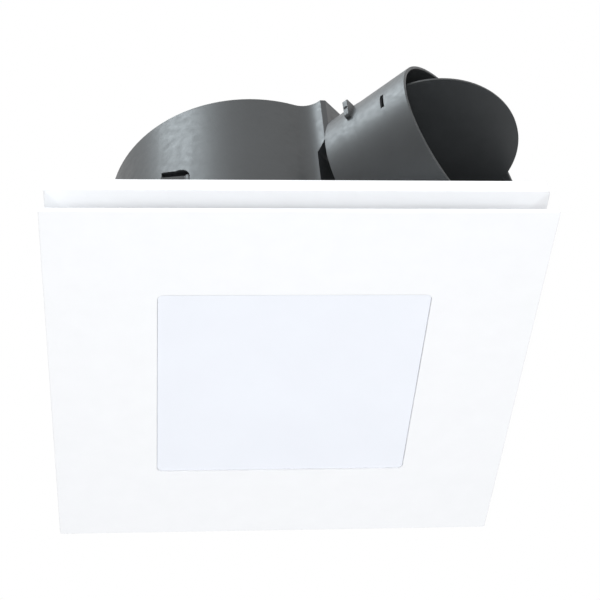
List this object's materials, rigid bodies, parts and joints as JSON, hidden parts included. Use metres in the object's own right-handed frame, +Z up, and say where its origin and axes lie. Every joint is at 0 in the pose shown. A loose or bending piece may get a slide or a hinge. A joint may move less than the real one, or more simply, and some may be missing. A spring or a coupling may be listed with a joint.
{
  "type": "bathroom extractor fan",
  "caption": "Ceiling extractor fan: square lit front panel on an air-gap frame, round fan drum above, and a round duct spigot with a butterfly backdraught flap.",
  "frame": {"origin": "centre of the square frame, on the plane where it meets the ceiling", "axes": "+Z up into the ceiling void; +X and +Y along the frame's sides; the duct leaves 43.75 degrees below +X"},
  "size_m": [0.3609, 0.3554, 0.2378],
  "materials": {
    "charcoal_abs": "satin moulded",
    "impeller_abs": "satin moulded",
    "white_abs": "satin gloss moulded",
    "opal": "frosted",
    "white_steel": "powder coated",
    "board": "white solder mask",
    "led": "phosphor domes",
    "connector_white": "smooth",
    "zinc_steel": "bright zinc plated",
    "spring_steel": "polished",
    "black_nylon": "moulded",
    "brass": "machined",
    "cast_alloy": "cast",
    "laminations": "stacked electrical steel",
    "enamelled_copper": "enamelled wire",
    "bronze": "sintered",
    "rubber": "moulded",
    "capacitor_case": "smooth"
  },
  "bodies": {
    "housing": {"housing": "charcoal_abs", "outlet_spigot": "charcoal_abs", "inlet_ring": "charcoal_abs", "inlet_guard": "charcoal_abs", "terminal_box": "charcoal_abs", "terminal_cover": "charcoal_abs", "ceiling_frame": "white_abs", "light_socket": "connector_white", "terminal_block": "connector_white", "spigot_screws": "zinc_steel", "frame_screws": "zinc_steel", "inlet_screws": "zinc_steel", "bracket_screws": "zinc_steel", "cover_screws": "zinc_steel", "driver_screws": "zinc_steel", "clamp_screws": "zinc_steel", "motor_bracket": "zinc_steel", "motor_bolts": "zinc_steel", "panel_clips": "spring_steel", "cable_gland": "black_nylon", "terminal_screws": "brass", "upper_end_shield": "cast_alloy", "lower_end_shield": "cast_alloy", "stator_core": "laminations", "stator_windings": "enamelled_copper", "upper_bush": "bronze", "lower_bush": "bronze", "motor_grommets": "rubber", "run_capacitor": "capacitor_case", "led_driver": "capacitor_case"},
    "rotor": {"rotor_core": "laminations", "motor_shaft": "spring_steel", "impeller": "impeller_abs", "impeller_washer": "zinc_steel", "impeller_nut": "zinc_steel"},
    "flap": {"backdraught_flap": "charcoal_abs", "flap_spindle": "spring_steel"},
    "panel": {"front_panel": "white_abs", "led_diffuser": "opal", "led_tray": "white_steel", "led_board": "board", "led_chips": "led", "tray_screws": "zinc_steel", "light_plug": "connector_white"},
    "clamp_nut_1": {"clamp_nut_1": "brass"},
    "clamp_dog_1": {"clamp_dog_1": "black_nylon"},
    "clamp_nut_2": {"clamp_nut_2": "brass"},
    "clamp_dog_2": {"clamp_dog_2": "black_nylon"},
    "clamp_nut_3": {"clamp_nut_3": "brass"},
    "clamp_dog_3": {"clamp_dog_3": "black_nylon"}
  },
  "joints": [
    {"name": "rotor_spin", "type": "hinge", "parent": "housing", "child": "rotor", "pos_m": [-0.0225, -0.0042, 0.1], "axis": [0, 0, 1], "continuous": true},
    {"name": "flap_swing", "type": "hinge", "parent": "housing", "child": "flap", "pos_m": [0.09726, -0.09105, 0.114], "axis": [0.6915, 0.7224, 0], "range_deg": [0, 90]},
    {"name": "panel_drop", "type": "slide", "parent": "housing", "child": "panel", "axis": [0, 0, -1], "range_m": [0, 0.04]},
    {"name": "clamp_travel_1", "type": "slide", "parent": "housing", "child": "clamp_nut_1", "axis": [0, 0, -1], "range_m": [0, 0.074]},
    {"name": "clamp_swing_1", "type": "hinge", "parent": "clamp_nut_1", "child": "clamp_dog_1", "pos_m": [-0.07155, -0.09634, 0.066], "axis": [0, 0, 1], "range_deg": [0, 40]},
    {"name": "clamp_travel_2", "type": "slide", "parent": "housing", "child": "clamp_nut_2", "axis": [0, 0, -1], "range_m": [0, 0.074]},
    {"name": "clamp_swing_2", "type": "hinge", "parent": "clamp_nut_2", "child": "clamp_dog_2", "pos_m": [0.07155, 0.09634, 0.066], "axis": [0, 0, 1], "range_deg": [0, 40]},
    {"name": "clamp_travel_3", "type": "slide", "parent": "housing", "child": "clamp_nut_3", "axis": [0, 0, -1], "range_m": [0, 0.074]},
    {"name": "clamp_swing_3", "type": "hinge", "parent": "clamp_nut_3", "child": "clamp_dog_3", "pos_m": [-0.09634, 0.07155, 0.066], "axis": [0, 0, 1], "range_deg": [0, 40]}
  ]
}
